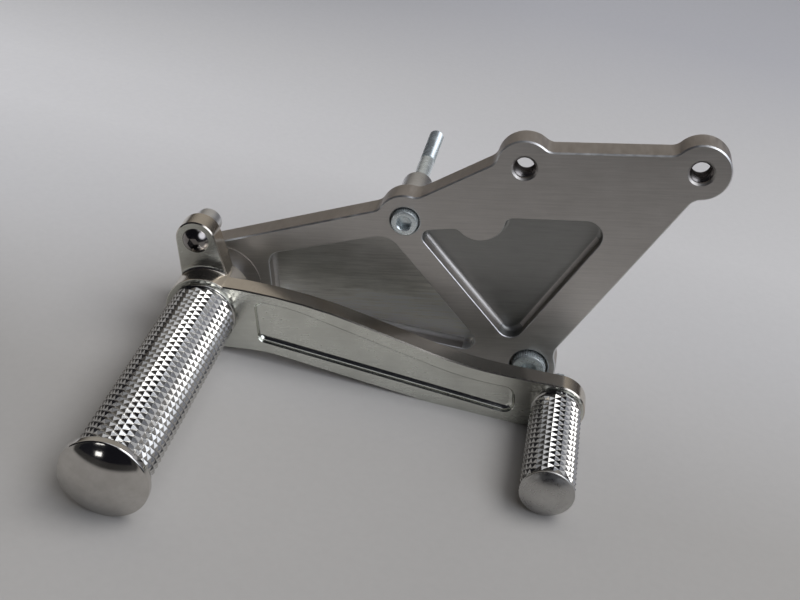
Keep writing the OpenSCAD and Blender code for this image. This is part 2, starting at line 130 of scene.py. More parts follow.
class RearSetSizes(bpy.types.PropertyGroup):
    """Sizes of the details that the finished pieces add to the solids."""

    plate_bevel: length("Plate bevel", 0.5, "Bevel round the plate's two faces")
    pedal_edge: length("Pedal edge", 0.45, "Broken edge round the pedal")
    pocket_fillet: length("Pocket fillet", 2.0, "Fillet between a pocket's wall and floor")
    knurl_depth: length("Knurl depth", 0.75, "Height of the diamonds on both pegs")
    knurl_pitch: length("Knurl pitch", 2.9, "Distance between diamonds along the foot peg")
    toe_knurl_pitch: length("Toe knurl pitch", 2.8, "Distance between diamonds along the toe peg")
    knurl_columns: columns("Knurl columns", 18, "Diamonds round the foot peg")
    toe_knurl_columns: columns("Toe knurl columns", 14, "Diamonds round the toe peg")
    knurl_crown: bpy.props.FloatProperty(
        name="Knurl crown", default=0.12, min=0.0, max=1.0, subtype="FACTOR",
        description="Flat top of a diamond as a share of its foot",
    )


class RearSetFinish(bpy.types.PropertyGroup):
    """Colours of the metals."""

    plate: colour("Plate", (0.58, 0.555, 0.53), "Brushed faces of the plate")
    pocket: colour("Front pocket", (0.34, 0.34, 0.33), "Milled floor and walls of the triangular pocket")
    # The rear pocket's colour is brighter than the front pocket's as painted light.
    rear_pocket: colour("Rear pocket", (0.60, 0.59, 0.56), "Milled floor and walls of the long pocket")
    plate_side: colour("Plate edges", (0.42, 0.385, 0.355), "Milled edges of the plate")
    # The pedal's own polished colour, with a slight green tint that is a painted reflection of the floor.
    pedal: colour("Pedal", (0.67, 0.675, 0.62), "Polished faces of the pedal")
    pedal_side: colour("Pedal edges", (0.62, 0.57, 0.50), "Edges of the pedal")
    dome: colour("Peg end", (0.56, 0.54, 0.51), "Domed end of the foot peg")
    peg: colour("Pegs", (0.53, 0.52, 0.50), "Bright metal of both pegs")
    zinc: colour("Plated screws", (0.78, 0.84, 0.85), "Zinc-plated screws and washers")
    # Painted darkness: the dark room that the ear screw reflects, put into its colour; the tapped holes' thread
    # also takes it as painted shade.
    dark: colour("Dark screw", (0.30, 0.28, 0.27), "Dark plated screw in the ear")
    turned: colour("Turned parts", (0.72, 0.72, 0.72), "Spacers and collar")
    steel: colour("Pivot steel", (0.42, 0.42, 0.43), "Sleeve and lock washers")
    bronze: colour("Bushes", (0.62, 0.46, 0.26), "Bearing bronze")
    floor: colour("Floor", (0.68, 0.675, 0.67), "Pale floor under the object")


def sizes():
    return bpy.context.scene.rear_set_sizes


def finish():
    return bpy.context.scene.rear_set_finish


# ---- outlines of arcs and straight edges, as in the part's source


def unit(angle):
    """Unit vector at an angle in degrees."""
    return Vector((cos(radians(angle)), sin(radians(angle))))


def heading(p, q):
    """Angle of the way from p to q, in degrees."""
    return degrees(atan2(q[1] - p[1], q[0] - p[0]))


def swing(a, b, sign):
    """The angle that means b when one turns from a in the sense of sign."""
    return a + sign * ((sign * (b - a)) % 360)


def meet(p, a, q, b):
    """Where the line through p at angle a meets the line through q at angle b."""
    across = unit(b - 90)
    return Vector(p) + unit(a) * ((Vector(q) - Vector(p)).dot(across) / unit(a).dot(across))


def corner_arc(p, q, r, radius):
    """Arc that rounds the corner q between p and r; its radius is negative in a hollow."""
    p, q, r = Vector(p[:2]), Vector(q[:2]), Vector(r[:2])
    a = heading(p, q)
    turn = (heading(q, r) - a + 180) % 360 - 180
    s = copysign(1, turn)
    c = q - unit(a) * radius * tan(radians(abs(turn) / 2)) + unit(a + 90) * s * radius
    return (c.x, c.y, s * radius, a - 90 * s, a - 90 * s + turn)


def rounded(corners):
    """Arcs of a polygon whose corners are (x, z, radius)."""
    n = len(corners)
    return [corner_arc(corners[i - 1], corners[i], corners[(i + 1) % n], corners[i][2]) for i in range(n)]


def blend_at(c, radius, f, a, h, s):
    """Centre of the hollow between a boss and an edge that passes it at distance h."""
    reach = sqrt((radius + f) ** 2 - (h + f) ** 2)
    return Vector(c) + unit(a) * s * reach + unit(a - 90) * (h + f)


def ease_at(c, radius, f, a, drop, s):
    """Centre of the rounding where an edge meets a hollow centred drop outside it."""
    reach = sqrt((radius + f) ** 2 - (drop + f) ** 2)
    return Vector(c) + unit(a) * s * reach - unit(a - 90) * (drop + f)


def boss_arcs(c, radius, fa, a, ha, fb, b, hb):
    """Hollow, boss, hollow between an edge along a and the next along b."""
    p = blend_at(c, radius, fa, a, ha, -1)
    q = blend_at(c, radius, fb, b, hb, 1)
    a0, b0 = heading(c, p), heading(c, q)
    return [
        (p.x, p.y, -fa, a + 90, swing(a + 90, a0 + 180, -1)),
        (c[0], c[1], radius, a0, swing(a0, b0, 1)),
        (q.x, q.y, -fb, b0 + 180, swing(b0 + 180, b + 90, -1)),
    ]


def outline(arcs, drawn_in=0.0, step=4.0):
    """Points of an outline, all drawn in by the same distance, with a step in degrees."""
    points = []
    for x, z, radius, start, end in arcs:
        s = copysign(1, radius)
        r = abs(radius) - s * drawn_in
        n = max(2, ceil(abs(end - start) / step))
        points += [Vector((x, z)) + unit(start + (end - start) * i / n) * r for i in range(n + 1)]
    return points


BOSS_R, BOSS_BLEND, HEEL_BLEND = 10.3, 5.0, 8.0
PIVOT_END_R = 16.5
EDGE_UPPER, EDGE_LINK, EDGE_TOP, EDGE_BOTTOM = 6.3, 6.0, 6.2, 6.0
EDGE_FRONT_LOW, EDGE_FRONT_HIGH = 3.6, 4.5


def edge_angle(p, q, hp, hq):
    """Angle of the edge that passes p at distance hp and q at distance hq."""
    gap = (Vector(q) - Vector(p)).length
    return heading(p, q) + degrees(asin((hp - hq) / gap))


RUN_BOTTOM = edge_angle(PIVOT, LOWER, PIVOT_END_R, EDGE_BOTTOM)
RUN_FRONT = edge_angle(LOWER, TAP_B, EDGE_FRONT_LOW, EDGE_FRONT_HIGH)
RUN_TOP = 180.0
RUN_LINK = heading(TAP_A, UPPER)
RUN_UPPER = edge_angle(UPPER, PIVOT, EDGE_UPPER, PIVOT_END_R)


def plate_arcs():
    """The plate's outline: the pivot end, then four bosses."""
    start = RUN_UPPER - 90
    return [
        (0, 0, PIVOT_END_R, start, swing(start, RUN_BOTTOM - 90, 1)),
        *boss_arcs(LOWER, BOSS_R, BOSS_BLEND, RUN_BOTTOM, EDGE_BOTTOM, HEEL_BLEND, RUN_FRONT, EDGE_FRONT_LOW),
        *boss_arcs(TAP_B, BOSS_R, BOSS_BLEND, RUN_FRONT, EDGE_FRONT_HIGH, BOSS_BLEND, RUN_TOP, EDGE_TOP),
        *boss_arcs(TAP_A, BOSS_R, BOSS_BLEND, RUN_TOP, EDGE_TOP, BOSS_BLEND, RUN_LINK, EDGE_LINK),
        *boss_arcs(UPPER, BOSS_R, BOSS_BLEND, RUN_LINK, EDGE_LINK, BOSS_BLEND, RUN_UPPER, EDGE_UPPER),
    ]


WEB_W = 9.3
WEB_TOP = Vector(UPPER) + Vector((2.4, -10.2))
WEB_FOOT = Vector(LOWER) + Vector((-16.8, 14.6))
WEB_RUN = heading(WEB_TOP, WEB_FOOT)
WEB_LEFT = WEB_TOP + unit(WEB_RUN - 90) * WEB_W / 2
WEB_RIGHT = WEB_TOP - unit(WEB_RUN - 90) * WEB_W / 2
SEAT_R, SEAT_H = 15.4, 0.4


def rear_pocket_arcs():
    """The pocket nearer the pivot: four edges inside the plate's own."""
    start = (19.7, 0)
    top, top_run = unit(RUN_UPPER - 90) * (PIVOT_END_R - 8), RUN_UPPER - 2
    low, low_run = unit(RUN_BOTTOM - 90) * (PIVOT_END_R - 10.1), RUN_BOTTOM - 1.3
    return rounded([
        (*meet(start, 90, low, low_run), 5),
        (*meet(WEB_LEFT, WEB_RUN, low, low_run), 4.2),
        (*meet(WEB_LEFT, WEB_RUN, top, top_run), 8),
        (*meet(start, 90, top, top_run), 5),
    ])


def front_pocket_arcs():
    """The triangular pocket, with a round of metal left in its top edge."""
    top = Vector(TAP_A) + Vector((0, -19.8))
    step, step_run = Vector(UPPER) + Vector((10.9, -3.1)), 184.8
    round_c, round_r, ease = Vector(TAP_A) + Vector((-16.1, -19.8)), 9.5, 2.9
    edge = Vector(TAP_B) + unit(RUN_FRONT - 90) * (EDGE_FRONT_HIGH - 14.5)
    tip = meet(WEB_RIGHT, WEB_RUN, edge, RUN_FRONT)
    corner = meet(edge, RUN_FRONT, top, 180)
    left = meet(WEB_RIGHT, WEB_RUN, step, step_run)
    drop = (round_c - step).dot(unit(step_run - 90))
    right_ease = ease_at(round_c, round_r, ease, 180, 0, -1)
    left_ease = ease_at(round_c, round_r, ease, step_run, drop, 1)
    a_right, a_left = heading(round_c, right_ease), heading(round_c, left_ease)
    return [
        corner_arc(left, tip, corner, 5.3),
        corner_arc(tip, corner, top, 6.1),
        (*right_ease, ease, 90, swing(90, a_right + 180, 1)),
        (*round_c, -round_r, a_right, swing(a_right, a_left, -1)),
        (*left_ease, ease, a_left + 180, swing(a_left + 180, step_run - 90, 1)),
        corner_arc(step, left, tip, 3.2),
    ]


TOE_RUN = heading(PIVOT, TOE)
TOE_END_R = 10.5


def along(share, off):
    """A point set out along the line from the pivot to the toe peg."""
    return Vector(TOE) * share + unit(TOE_RUN + 90) * off


def arm_arcs():
    """The pedal's arm, from inside the hub to its round end."""
    top_root, crown, hollow = along(-0.024, 12.2), along(0.228, 17.36), along(0.736, 7.8)
    root, step = along(0.016, -11.4), along(0.074, -12.55)
    low_hollow, low_crown = along(0.19, -9.64), along(0.832, -13.3)
    toe = Vector(TOE)
    run_over = heading(hollow, toe) + degrees(asin(TOE_END_R / (toe - hollow).length))
    mark = toe + unit(run_over + 90) * TOE_END_R
    drop, f = 8.8, 4.0
    run_under = heading(low_crown, toe) - degrees(asin(drop / (toe - low_crown).length))
    blend = blend_at(toe, TOE_END_R, f, run_under, drop, -1)
    end = heading(blend, toe)
    return [
        corner_arc(top_root, root, step, 3),
        corner_arc(root, step, low_hollow, 3),
        corner_arc(step, low_hollow, low_crown, 60),
        corner_arc(low_hollow, low_crown, low_crown + unit(run_under), 40),
        (*blend, -f, run_under + 90, swing(run_under + 90, end, -1)),
        (*toe, TOE_END_R, end - 180, swing(end - 180, run_over + 90, 1)),
        corner_arc(mark, hollow, crown, 130),
        corner_arc(hollow, crown, top_root, 190),
        corner_arc(crown, top_root, root, 3),
    ]


def recess_arcs():
    """The dished recess in the arm's face."""
    return rounded([
        (*along(0.164, -5.41), 3), (*along(0.897, -7.12), 4), (*along(0.875, 4.3), 4),
        (*along(0.735, 2.8), 100), (*along(0.229, 12.29), 70), (*along(0.132, 11.04), 3.2),
    ])


EAR_R, EAR_RUN = 7.5, 100.8


def ear_arcs():
    """The ear, from inside the hub to its round top."""
    inside, f = HUB_R - 1.3, 4.0
    side = (Vector(EAR) + unit(EAR_RUN - 90) * EAR_R).dot(unit(EAR_RUN - 90))
    blend = blend_at(PIVOT, inside, f, EAR_RUN, side, 1)
    start = heading(blend, PIVOT) + 360
    left = EAR[0] - EAR_R
    return [
        (*blend, -f, start, swing(start, EAR_RUN + 90, -1)),
        (*EAR, EAR_R, EAR_RUN - 90, 180),
        corner_arc((left, EAR[1]), (left, 6), (0, 5), 2),
        corner_arc((0, 5), (7, 3), blend, 2),
    ]


# ---- meshes, with what is too short or too flat to count, in millimetres and degrees

SHORTEST, DOUBLE, WELD, TREE_WELD = 0.001, 0.0005, 0.002, 0.006
SHARP_ANGLE = 32.0


def make_object(name, mesh):
    obj = bpy.data.objects.new(name, mesh)
    bpy.context.scene.collection.objects.link(obj)
    return obj


def from_points(name, points, faces):
    """Object from points in millimetres and faces, with doubles merged."""
    mesh = bpy.data.meshes.new(name)
    mesh.from_pydata([Vector(p) * MM for p in points], [], faces)
    bm = bmesh.new()
    bm.from_mesh(mesh)
    bmesh.ops.remove_doubles(bm, verts=bm.verts, dist=DOUBLE * MM)
    bmesh.ops.recalc_face_normals(bm, faces=bm.faces)
    bm.to_mesh(mesh)
    bm.free()
    return make_object(name, mesh)


def loft(name, arcs, rings):
    """Solid through rings of (drawn in, y), from the front to the back."""
    raw = outline(arcs)
    keep = [i for i, p in enumerate(raw) if (p - raw[(i + 1) % len(raw)]).length > SHORTEST]
    points, faces, n = [], [], len(keep)
    for drawn_in, y in rings:
        ring = outline(arcs, drawn_in)
        points += [(ring[i].x, y, ring[i].y) for i in keep]
    for k in range(len(rings) - 1):
        for i in range(n):
            j = (i + 1) % n
            faces.append((k * n + i, k * n + j, (k + 1) * n + j, (k + 1) * n + i))
    faces.append(tuple(range(n - 1, -1, -1)))
    faces.append(tuple(range((len(rings) - 1) * n, len(rings) * n)))
    return from_points(name, points, faces)


def slab(name, arcs, y0, y1, edge):
    """A slab whose two rims are broken."""
    return loft(name, arcs, [(edge, y0), (0, y0 + edge), (0, y1 - edge), (edge, y1)])


def lathe(name, centre, profile, count=96, closed=False):
    """Turns a profile of (radius, y) round the line through centre along Y."""
    points, faces = [], []
    for radius, y in profile:
        for i in range(count):
            a = tau * i / count
            points.append((centre[0] + radius * cos(a), y, centre[1] + radius * sin(a)))
    rings = len(profile)
    for k in range(rings if closed else rings - 1):
        m = (k + 1) % rings
        for i in range(count):
            j = (i + 1) % count
            quad = (k * count + i, k * count + j, m * count + j, m * count + i)
            if profile[k][0] == 0:
                quad = (k * count, quad[2], quad[3])
            elif profile[m][0] == 0:
                quad = (quad[0], quad[1], m * count)
            faces.append(quad)
    return from_points(name, points, faces)


def turned(name, centre, steps, count=96):
    """A solid turned from steps of (radius, y), closed on its axis at both ends."""
    return lathe(name, centre, [(0, steps[0][1]), *steps, (0, steps[-1][1])], count)


def rod(name, centre, radius, y0, y1, count=96):
    """A plain bar, mostly to cut a hole."""
    return turned(name, centre, [(radius, y0), (radius, y1)], count)


def hex_prism(name, centre, across, y0, y1):
    """Six-sided cutter for a screw's socket."""
    reach = across / sqrt(3)
    turns = [tau * i / 6 for i in range(6)]
    ring = [(centre[0] + reach * cos(a), centre[1] + reach * sin(a)) for a in turns]
    points = [(x, y, z) for y in (y0, y1) for x, z in ring]
    faces = [(0, 1, 2, 3, 4, 5), (11, 10, 9, 8, 7, 6)]
    faces += [(i, i + 6, (i + 1) % 6 + 6, (i + 1) % 6) for i in range(6)]
    return from_points(name, points, faces)


def settle(obj):
    """Puts the evaluated shape into the object's own mesh and clears its modifiers."""
    shape = bpy.data.meshes.new_from_object(obj.evaluated_get(bpy.context.evaluated_depsgraph_get()))
    old = obj.data
    obj.modifiers.clear()
    obj.data = shape
    shape.name = obj.name
    bpy.data.meshes.remove(old)
    return obj


def combine(obj, others, operation):
    """Adds or takes away other objects, which are used up."""
    for other in others:
        step = obj.modifiers.new(operation.title(), "BOOLEAN")
        step.operation = operation
        step.solver = "EXACT"
        step.object = other
        settle(obj)
        bpy.data.objects.remove(other)
    return obj



def weld(obj):
    """Merges points that lie closer than the booleans can tell apart."""
    bm = bmesh.new()
    bm.from_mesh(obj.data)
    bmesh.ops.remove_doubles(bm, verts=bm.verts, dist=WELD * MM)
    bmesh.ops.dissolve_degenerate(bm, edges=bm.edges, dist=WELD * MM)
    bm.to_mesh(obj.data)
    bm.free()


def smooth(obj):
    """Smooth shading with sharp edges, and flats that stay flat."""
    obj.data.shade_smooth()
    obj.data.set_sharp_from_angle(angle=radians(SHARP_ANGLE))
    step = obj.modifiers.new("Weighted Normal", "WEIGHTED_NORMAL")
    step.keep_sharp = True
    step.weight = 60
    return settle(obj)


def paint(obj, *materials):
    """Sets the slots' materials and keeps each face's slot."""
    places = [face.material_index for face in obj.data.polygons]
    obj.data.materials.clear()
    for m in materials:
        obj.data.materials.append(m)
    obj.data.polygons.foreach_set("material_index", places)
    return obj


def join(obj, others):
    """Joins plain mesh objects that ride on the same body."""
    slots = obj.data.materials
    bm = bmesh.new()
    bm.from_mesh(obj.data)
    for other in others:
        for m in other.data.materials:
            if m.name not in slots:
                slots.append(m)
        places = [slots.find(m.name) for m in other.data.materials]
        before = len(bm.faces)
        bm.from_mesh(other.data)
        bm.faces.ensure_lookup_table()
        for face in bm.faces[before:]:
            face.material_index = places[face.material_index]
        bpy.data.objects.remove(other)
    bm.to_mesh(obj.data)
    bm.free()
    return obj


def fit(obj, node):
    """Seats a finished piece on its body in place of the solid it stands for."""
    bodies = frame["record"]["behaviour"]["bodies"]
    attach(obj, next(body for body, nodes in bodies.items() if node in nodes))
    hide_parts(node)


# ---- node trees


class Wires:
    """Short words for adding nodes to a tree."""

    def __init__(self, group):
        self.group = group

    def node(self, kind, values=None, **settings):
        n = self.group.nodes.new(kind)
        for key, value in settings.items():
            setattr(n, key, value)
        for key, value in (values or {}).items():
            self.plug(value, n.inputs[key])
        return n

    def plug(self, value, socket):
        if isinstance(value, bpy.types.NodeSocket):
            self.group.links.new(value, socket)
        else:
            socket.default_value = value

    def socket(self, label, kind, default=None, way="INPUT"):
        """Adds a named socket to the group and gives its identifier."""
        sock = self.group.interface.new_socket(label, in_out=way, socket_type="NodeSocket" + kind)
        if default is not None:
            sock.default_value = default
        return sock.identifier

    def math(self, operation, *values):
        return self.node("ShaderNodeMath", dict(enumerate(values)), operation=operation).outputs[0]

    def over(self, operation, values, output=0):
        """A step of vector mathematics."""
        return self.node("ShaderNodeVectorMath", values, operation=operation).outputs[output]

    def vector(self, *parts):
        return self.node("ShaderNodeCombineXYZ", dict(enumerate(parts))).outputs[0]

    def parts(self, vector):
        return self.node("ShaderNodeSeparateXYZ", {0: vector}).outputs

    def mapped(self, value, start, end, low=0.0, high=1.0, kind="LINEAR"):
        """A value taken from one range to another."""
        values = {"Value": value, "From Min": start, "From Max": end, "To Min": low, "To Max": high}
        return self.node("ShaderNodeMapRange", values, interpolation_type=kind).outputs[0]

    def blend(self, mask, a, b):
        """Colour a where the mask is 0 and b where it is 1."""
        return self.node("ShaderNodeMix", {0: mask, 6: a, 7: b}, data_type="RGBA").outputs[2]


class Tree(Wires):
    """A geometry node tree with named inputs: numbers, counts and a material."""

    KINDS = {float: "Float", int: "Int", type(None): "Material"}

    def __init__(self, name, inputs):
        super().__init__(bpy.data.node_groups.new(name, "GeometryNodeTree"))
        self.socket("Geometry", "Geometry", way="OUTPUT")
        self.names = {label: self.socket(label, self.KINDS[type(value)], value) for label, value in inputs.items()}
        self.given = self.node("NodeGroupInput").outputs
        self.outlet = self.node("NodeGroupOutput")

    def around(self, angle, radius, y):
        """The place at an angle and a radius round the axis, and at y along it."""
        x = self.math("MULTIPLY_ADD", self.math("COSINE", angle), radius, self.given["Axis X"])
        z = self.math("MULTIPLY_ADD", self.math("SINE", angle), radius, self.given["Axis Z"])
        return self.vector(x, y, z)

    def close(self, geometry):
        """Ends the tree: real geometry, merged, with its material."""
        real = self.node("GeometryNodeRealizeInstances", {"Geometry": geometry}).outputs[0]
        merging = {"Geometry": real, "Distance": TREE_WELD * MM}
        joined = self.node("GeometryNodeMergeByDistance", merging).outputs[0]
        dressing = {"Geometry": joined, "Material": self.given["Material"]}
        self.plug(self.node("GeometryNodeSetMaterial", dressing).outputs[0], self.outlet.inputs[0])
        return self

    def run(self, name, values):
        """A plain mesh object made by the tree with these inputs."""
        obj = make_object(name, bpy.data.meshes.new(name))
        step = obj.modifiers.new("Shape", "NODES")
        step.node_group = self.group
        for label, value in values.items():
            step[self.names[label]] = value
        obj.update_tag()
        bpy.context.view_layer.update()
        settle(obj)
        obj.data.polygons.foreach_set("material_index", [0] * len(obj.data.polygons))
        return paint(obj, values["Material"])


def knurl_tree():
    """Rows of raised diamonds, each a cut pyramid, staggered round a bar along Y."""
    t = Tree("Diamond Knurl", {
        "Axis X": 0.0, "Axis Z": 0.0, "Foot Radius": 0.012, "Height": 0.0006, "Start": -0.1, "Pitch": 0.003,
        "Rows": 30, "Columns": 17, "Crown": 0.3, "Material": None,
    })
    m, given = t.math, t.given
    foot, pitch, rows = given["Foot Radius"], given["Pitch"], given["Rows"]
    count = m("MULTIPLY", m("MULTIPLY", given["Columns"], 2.0), rows)
    index = t.node("GeometryNodeInputIndex").outputs[0]
    lane = m("FLOOR", m("DIVIDE", m("ADD", index, 0.5), rows))
    row = m("SUBTRACT", index, m("MULTIPLY", lane, rows))
    half_turn = m("DIVIDE", pi, given["Columns"])
    angle = m("MULTIPLY", lane, half_turn)
    stagger = m("MULTIPLY", m("MODULO", lane, 2.0), 0.5)
    y = m("MULTIPLY_ADD", m("ADD", m("ADD", row, stagger), 0.5), pitch, given["Start"])
    points = t.node("GeometryNodePoints", {"Count": count, "Position": t.around(angle, foot, y)})
    cone = t.node("GeometryNodeMeshCone", {
        "Vertices": 4, "Side Segments": 1, "Radius Top": given["Crown"], "Radius Bottom": 1.0,
        "Depth": given["Height"],
    })
    x_in, y_in, z_in = t.parts(t.node("GeometryNodeInputPosition").outputs[0])
    across = m("MULTIPLY", x_in, m("MULTIPLY", half_turn, foot))
    sag = m("DIVIDE", m("MULTIPLY", across, across), m("MULTIPLY", foot, 2.0))
    spot = t.vector(across, m("MULTIPLY", y_in, m("MULTIPLY", pitch, 0.5)), m("SUBTRACT", z_in, sag))
    pyramid = t.node("GeometryNodeSetPosition", {"Geometry": cone.outputs["Mesh"], "Position": spot}).outputs[0]
    facing = t.parts(t.node("GeometryNodeInputNormal").outputs[0])[2]
    under = t.node("FunctionNodeCompare", {0: facing, 1: -0.5}, data_type="FLOAT", operation="LESS_THAN").outputs[0]
    open_foot = t.node("GeometryNodeDeleteGeometry", {"Geometry": pyramid, "Selection": under}, domain="FACE")
    placed = t.node("GeometryNodeInstanceOnPoints", {
        "Points": points.outputs[0], "Instance": open_foot.outputs[0],
        "Rotation": t.vector(0.0, m("SUBTRACT", pi / 2, angle), 0.0),
    })
    return t.close(placed.outputs[0])


def ridge_tree():
    """A sleeve whose surface rises and falls: round a helix, or in straight ridges."""
    t = Tree("Ridged Sleeve", {
        "Axis X": 0.0, "Axis Z": 0.0, "Crest Radius": 0.003, "Depth": 0.0005, "Start": 0.0, "Row Step": 0.0005,
        "Rows": 40, "Sides": 48, "Lead": 0.001, "By Row": 1.0, "Material": None,
    })
    m, given = t.math, t.given
    rows, sides, by_row = given["Rows"], given["Sides"], given["By Row"]
    grid = t.node("GeometryNodeMeshGrid", {
        "Size X": 1.0, "Size Y": 1.0, "Vertices X": m("ADD", sides, 1.0), "Vertices Y": m("ADD", rows, 1.0),
    })
    x_in, y_in, _ = t.parts(t.node("GeometryNodeInputPosition").outputs[0])
    u = m("ADD", x_in, 0.5)
    row = m("ROUND", m("MULTIPLY", m("ADD", y_in, 0.5), rows))
    side = m("ROUND", m("MULTIPLY", u, sides))
    counted = m("ADD", m("MULTIPLY", row, by_row), m("MULTIPLY", side, m("SUBTRACT", 1.0, by_row)))
    low = m("MULTIPLY", m("MODULO", counted, 2.0), given["Depth"])
    radius = m("SUBTRACT", given["Crest Radius"], low)
    y = m("MULTIPLY_ADD", row, given["Row Step"], m("MULTIPLY_ADD", u, given["Lead"], given["Start"]))
    spot = t.around(m("MULTIPLY", u, tau), radius, y)
    bent = t.node("GeometryNodeSetPosition", {"Geometry": grid.outputs["Mesh"], "Position": spot})
    return t.close(bent.outputs[0])


def once(builder):
    """What a builder makes, made on its first use."""
    if builder not in MADE:
        MADE[builder] = builder()
    return MADE[builder]


MADE = {}


# ---- materials

# A metal's colour, roughness, stretch of its grain along X, Y and Z, how far the grain moves its
# roughness and its tone, the height of its relief in millimetres, and the strength of its marks.
METALS = {
    "Brushed plate": ("plate", 0.44, (60, 1400, 1400), 0.15, 0.10, 0.02, 0.10),
    "Milled pocket": ("pocket", 0.42, (90, 1000, 1600), 0.2, 0.12, 0.015, 0.15),
    "Milled rear pocket, painted light": ("rear_pocket", 0.42, (90, 1000, 1600), 0.2, 0.16, 0.015, 0.15),
    "Milled edge": ("plate_side", 0.48, (700, 160, 700), 0.12, 0.08, 0.02, 0.10),
    "Bright chamfer": ("turned", 0.44, (300, 300, 300), 0.2, 0.04, 0.0, 0.1),
    "Polished pedal": ("pedal", 0.24, (120, 900, 900), 0.2, 0.05, 0.006, 0.2),
    "Pedal edge": ("pedal_side", 0.20, (700, 200, 700), 0.12, 0.03, 0.002, 0.06),
    "Pedal recess": ("pedal", 0.14, (120, 900, 900), 0.2, 0.05, 0.004, 0.2),
    "Bright knurl": ("peg", 0.12, (500, 900, 500), 0.25, 0.08, 0.006, 0.25),
    "Mirror end": ("dome", 0.09, (500, 900, 500), 0.2, 0.03, 0.0, 0.3),
    "Satin end": ("peg", 0.33, (500, 900, 500), 0.2, 0.05, 0.005, 0.2),
    "Zinc plate": ("zinc", 0.27, (500, 500, 500), 0.2, 0.05, 0.004, 0.15),
    # The ear screw's dark colour is a painted reflection of the dark room.
    "Dark screw, painted reflection": ("dark", 0.14, (500, 500, 500), 0.2, 0.05, 0.0, 0.2),
    "Turned alloy": ("turned", 0.34, (300, 1800, 300), 0.2, 0.06, 0.01, 0.1),
    "Turned steel": ("steel", 0.32, (300, 1500, 300), 0.2, 0.06, 0.01, 0.15),
    "Bearing bronze": ("bronze", 0.34, (300, 1500, 300), 0.2, 0.08, 0.01, 0.2),
    # Painted shade: the thread inside the tapped holes takes the dark screw's colour.
    "Cut thread, painted shade": ("dark", 0.28, (300, 1500, 300), 0.2, 0.06, 0.0, 0.15),
}
# Painted light: the rear pocket is brighter lower down: from one height to another in millimetres, by these
# factors.
MORE = {
    "Milled rear pocket, painted light": {"painted_light_lift": (14, -12, 0.85, 1.75)},
    "Zinc plate": {"marks_scale": 200, "metallic": 0.7},
}


def grain_group():
    """Fine scratches drawn out along one direction, and soft handling marks."""
    w = Wires(bpy.data.node_groups.new("Metal Grain", "ShaderNodeTree"))
    w.socket("Stretch", "Vector", (40.0, 900.0, 900.0))
    w.socket("Marks Scale", "Float", 60.0)
    w.socket("Grain", "Float", way="OUTPUT")
    w.socket("Marks", "Float", way="OUTPUT")
    given = w.node("NodeGroupInput").outputs
    place = w.node("ShaderNodeTexCoord").outputs["Object"]
    drawn = w.over("MULTIPLY", {0: place, 1: given["Stretch"]})
    lines = {"Vector": drawn, "Scale": 1.0, "Detail": 4.0, "Roughness": 0.65}
    marks = {"Vector": place, "Scale": given["Marks Scale"], "Detail": 5.0, "Roughness": 0.6}
    w.node("NodeGroupOutput", {
        "Grain": w.node("ShaderNodeTexNoise", lines).outputs[0],
        "Marks": w.node("ShaderNodeTexNoise", marks).outputs[0],
    })
    return w.group


def new_material(name):
    """A material, the words for its tree, and its shader."""
    material = bpy.data.materials.new(name)
    material.use_nodes = True
    return material, Wires(material.node_tree), material.node_tree.nodes["Principled BSDF"]


def metal(name, base, rough, stretch, grain, tone, bump, marks, marks_scale=60.0, painted_light_lift=None, metallic=1.0):
    """A metal with drawn-out grain in its tone, roughness and surface."""
    material, w, shader = new_material(name)
    values = {"Stretch": stretch, "Marks Scale": marks_scale}
    pattern = w.node("ShaderNodeGroup", values, node_tree=once(grain_group)).outputs

    def varied(middle, by_grain, by_marks):
        """A value that moves with the grain and the marks."""
        drawn = w.mapped(pattern["Grain"], 0.3, 0.7, middle * (1 - by_grain), middle * (1 + by_grain))
        return w.math("MULTIPLY", drawn, w.mapped(pattern["Marks"], 0.3, 0.7, 1 - by_marks, 1 + by_marks))

    shade = varied(1, tone, marks * 0.6)
    # Painted light: the colour grows brighter between two heights.
    if painted_light_lift:
        start, end, low, high = painted_light_lift
        height = w.parts(w.node("ShaderNodeTexCoord").outputs["Object"])[2]
        shade = w.math("MULTIPLY", shade, w.mapped(height, start * MM, end * MM, low, high, "SMOOTHSTEP"))
    w.plug(metallic, shader.inputs["Metallic"])
    w.plug(w.over("SCALE", {0: base, "Scale": shade}), shader.inputs["Base Color"])
    w.plug(varied(rough, grain, marks), shader.inputs["Roughness"])
    if bump:
        relief = {"Strength": 1.0, "Distance": bump * MM, "Height": pattern["Grain"]}
        w.plug(w.node("ShaderNodeBump", relief).outputs[0], shader.inputs["Normal"])
    return material


def made(name):
    """The named metal, made on its first use."""
    if name not in MADE:
        tint, *rest = METALS[name]
        MADE[name] = metal(name, getattr(finish(), tint), *rest, **MORE.get(name, {}))
    return MADE[name]


def dress(obj, *names):
    """Gives the slots their metals."""
    return paint(obj, *(made(name) for name in names))


# ---- the pieces

POCKET_DEPTH, RECESS_DEPTH, RECESS_FILLET, BROKEN = 5.5, 2.4, 2.2, 0.25
SPIGOT_R, BUSH_R, SHOULDER_R, SHOULDER_T, SMALL_BORE_R = 6.05, 9.06, 10.55, 1.1, 3.3
FRONT_RIM, BACK_RIM = 0.3, 9.5
EASE_TURNS = [radians(22.5 * i) for i in range(5)]


def dense(points):
    """The points of a closed line with more set between them, a millimetre apart."""
    filled = []
    for i, p in enumerate(points):
        q = points[(i + 1) % len(points)]
        n = max(1, int((q - p).length))
        filled += [p.lerp(q, k / n) for k in range(n)]
    return filled


RECESS_SEAM = dense(outline(recess_arcs()))
POCKET_SEAM = outline(rear_pocket_arcs(), 0, 8) + outline(front_pocket_arcs(), 0, 8)


def near(spot, seam, reach):
    """Whether a point lies within reach of a seam, seen from the front."""
    return min((Vector((spot.x, spot.z)) - p).length for p in seam) < reach


